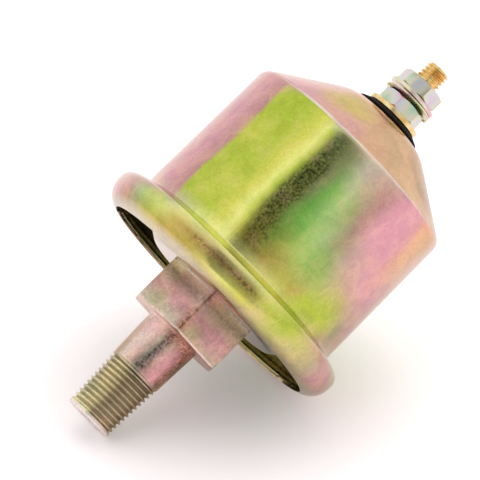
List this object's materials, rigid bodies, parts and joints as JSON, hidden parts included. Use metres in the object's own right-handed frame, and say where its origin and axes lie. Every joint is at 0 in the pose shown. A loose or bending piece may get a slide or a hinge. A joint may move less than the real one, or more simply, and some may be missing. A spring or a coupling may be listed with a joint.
{
  "type": "oil pressure sender",
  "caption": "Engine oil pressure sender: drawn steel can crimped to a base plate, hexagon fitting with tapered thread, insulated threaded terminal, lever and wound card inside.",
  "frame": {"origin": "on the axis, where the tapered pressure thread meets the neck (face of the port it screws into)", "axes": "+Z along the sender's axis towards the electrical terminal; a corner of the fitting's hexagon is at -Y"},
  "size_m": [0.054, 0.054, 0.0907],
  "materials": {
    "zinc_steel": "yellow zinc plated pressed steel",
    "zinc_fitting": "yellow zinc plated turned steel",
    "base_zinc": "yellow zinc plated sheet, duller",
    "plain_steel": "plain steel",
    "nut_zinc": "zinc plated, slightly iridescent",
    "spring_zinc": "yellow zinc plated spring steel",
    "brass": "turned brass",
    "bronze": "spring bronze",
    "black_insulator": "black moulded insulating plastic",
    "card_board": "brown laminated insulating board",
    "seal_rubber": "black rubber",
    "resistance_wire": "resistance wire"
  },
  "bodies": {
    "housing": {"pressure_fitting": "zinc_fitting", "inlet_restrictor": "brass", "housing_can": "zinc_steel", "base_plate": "base_zinc", "seal_ring": "seal_rubber", "diaphragm": "bronze", "carrier_plate": "plain_steel", "clamp_ring": "plain_steel", "return_spring": "plain_steel", "guide_bush": "brass", "mechanism_bracket": "plain_steel", "bracket_rivets": "brass", "pivot_pin": "plain_steel", "resistor_former": "card_board", "resistor_winding": "resistance_wire", "former_rivets": "brass", "lead_strip": "brass", "lead_rivet": "brass", "terminal_stud": "brass", "inner_insulator": "black_insulator", "outer_insulator": "black_insulator", "brass_washer": "brass", "lower_nut": "nut_zinc", "flat_washer": "nut_zinc", "spring_washer": "spring_zinc", "top_nut": "nut_zinc"},
    "lever": {"wiper_lever": "plain_steel", "wiper_contact": "bronze", "wiper_rivet": "brass"},
    "plunger": {"push_rod": "plain_steel", "retaining_ring": "plain_steel"}
  },
  "joints": [
    {"name": "lever_hinge", "type": "hinge", "parent": "housing", "child": "lever", "pos_m": [-0.0022, 0, 0.035], "axis": [0, -1, 0], "range_deg": [0, 20.84]},
    {"name": "rod_slide", "type": "slide", "parent": "housing", "child": "plunger", "axis": [0, 0, 1], "range_m": [0, 0.0008], "stiffness_N_per_m": 200, "springref_m": -0.004, "deforming": ["return_spring", "diaphragm"]}
  ],
  "couplings": [
    {"joint": "lever_hinge", "follows": "rod_slide", "rad_per_m": 454.55}
  ]
}
